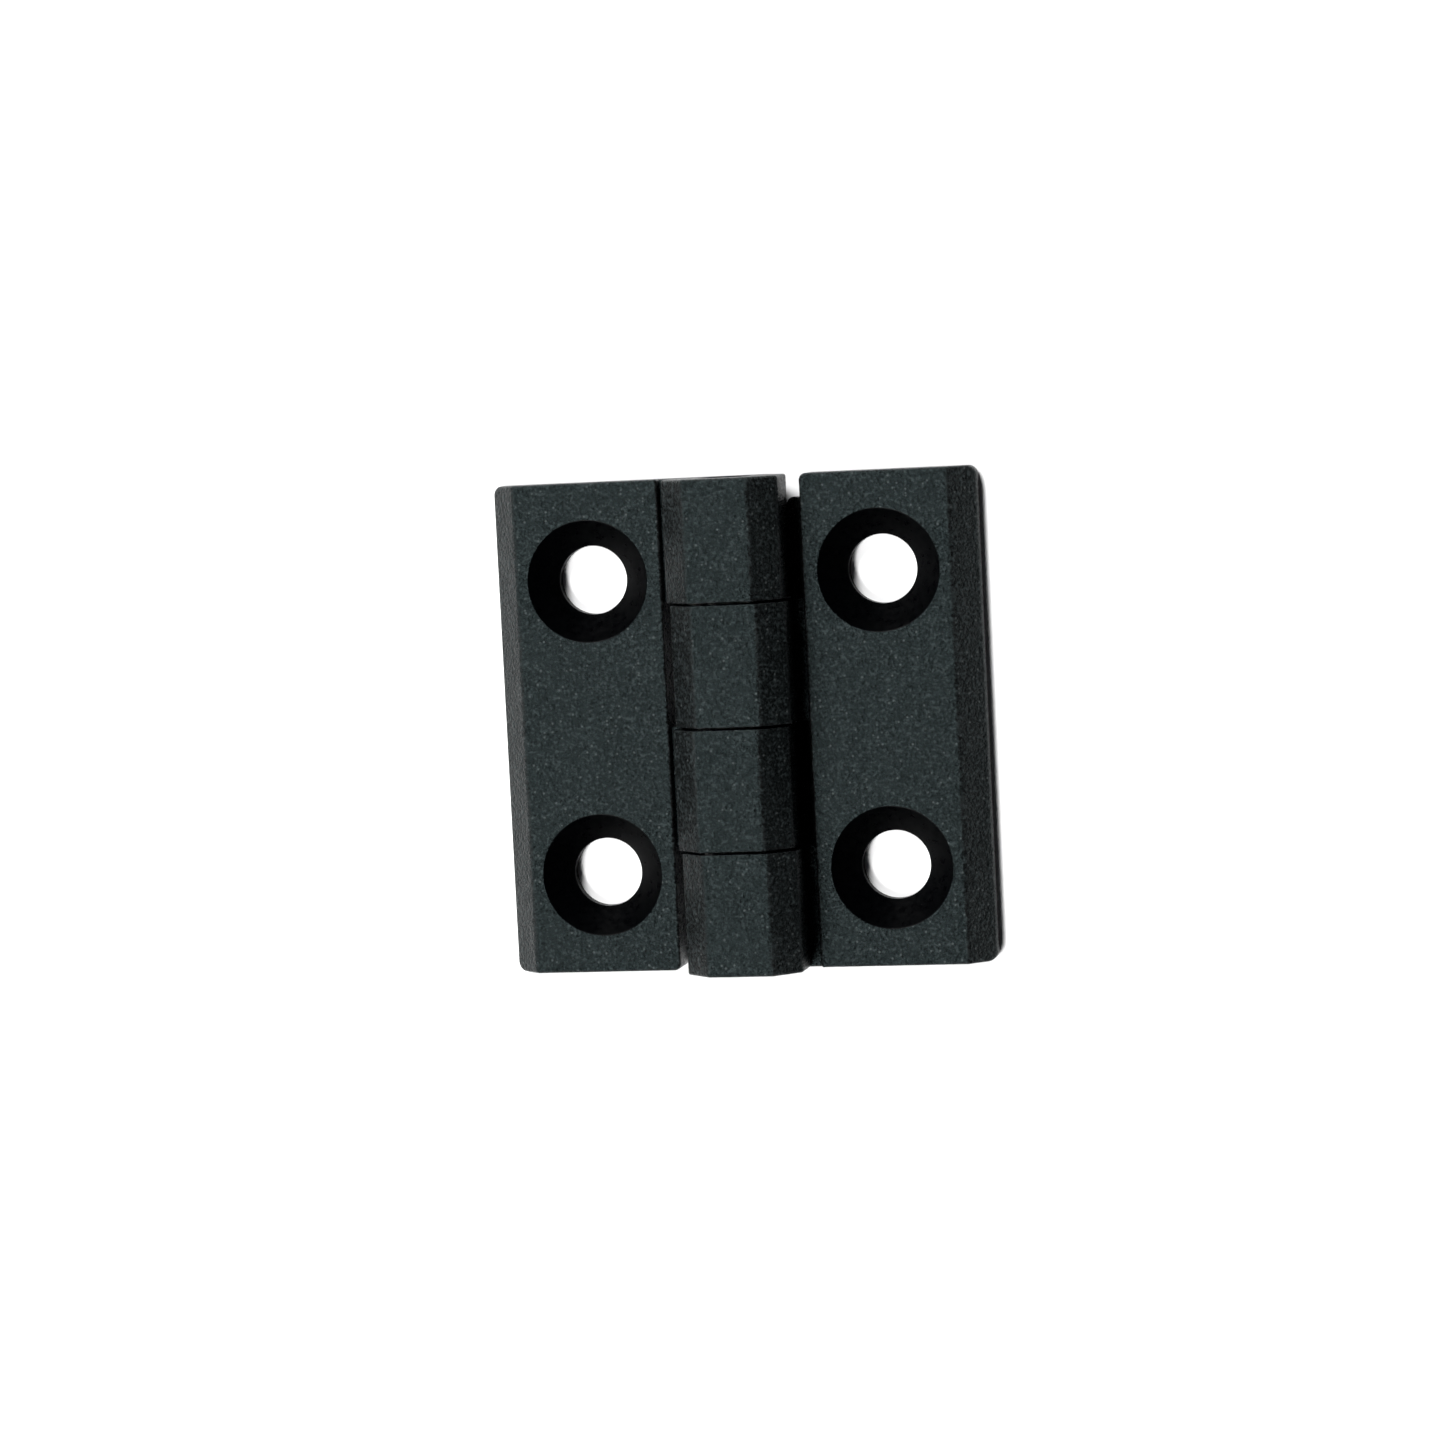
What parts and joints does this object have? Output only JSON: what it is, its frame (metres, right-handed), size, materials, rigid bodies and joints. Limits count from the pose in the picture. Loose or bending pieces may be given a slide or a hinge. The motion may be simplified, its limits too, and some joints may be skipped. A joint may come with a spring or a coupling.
{
  "type": "door hinge",
  "caption": "Surface-mounted butt hinge with two bevelled, countersunk die-cast leaves that turn on a steel pin through an eight-sided barrel.",
  "frame": {"origin": "on the mounting plane under the leaves, straight below the middle of the pin", "axes": "+Z away from the mounting plane, Y along the pin, +X towards the swinging right leaf"},
  "size_m": [0.05, 0.05, 0.01],
  "materials": {
    "black_powder_coat": "matte",
    "pin_steel": "satin"
  },
  "bodies": {
    "fixed_side": {"left_leaf": "black_powder_coat", "hinge_pin": "pin_steel"},
    "swinging_side": {"right_leaf": "black_powder_coat"}
  },
  "joints": [
    {"name": "leaf_swing", "type": "hinge", "parent": "fixed_side", "child": "swinging_side", "pos_m": [0, 0, 0.005], "axis": [0, -1, 0], "range_deg": [-90, 180]}
  ]
}
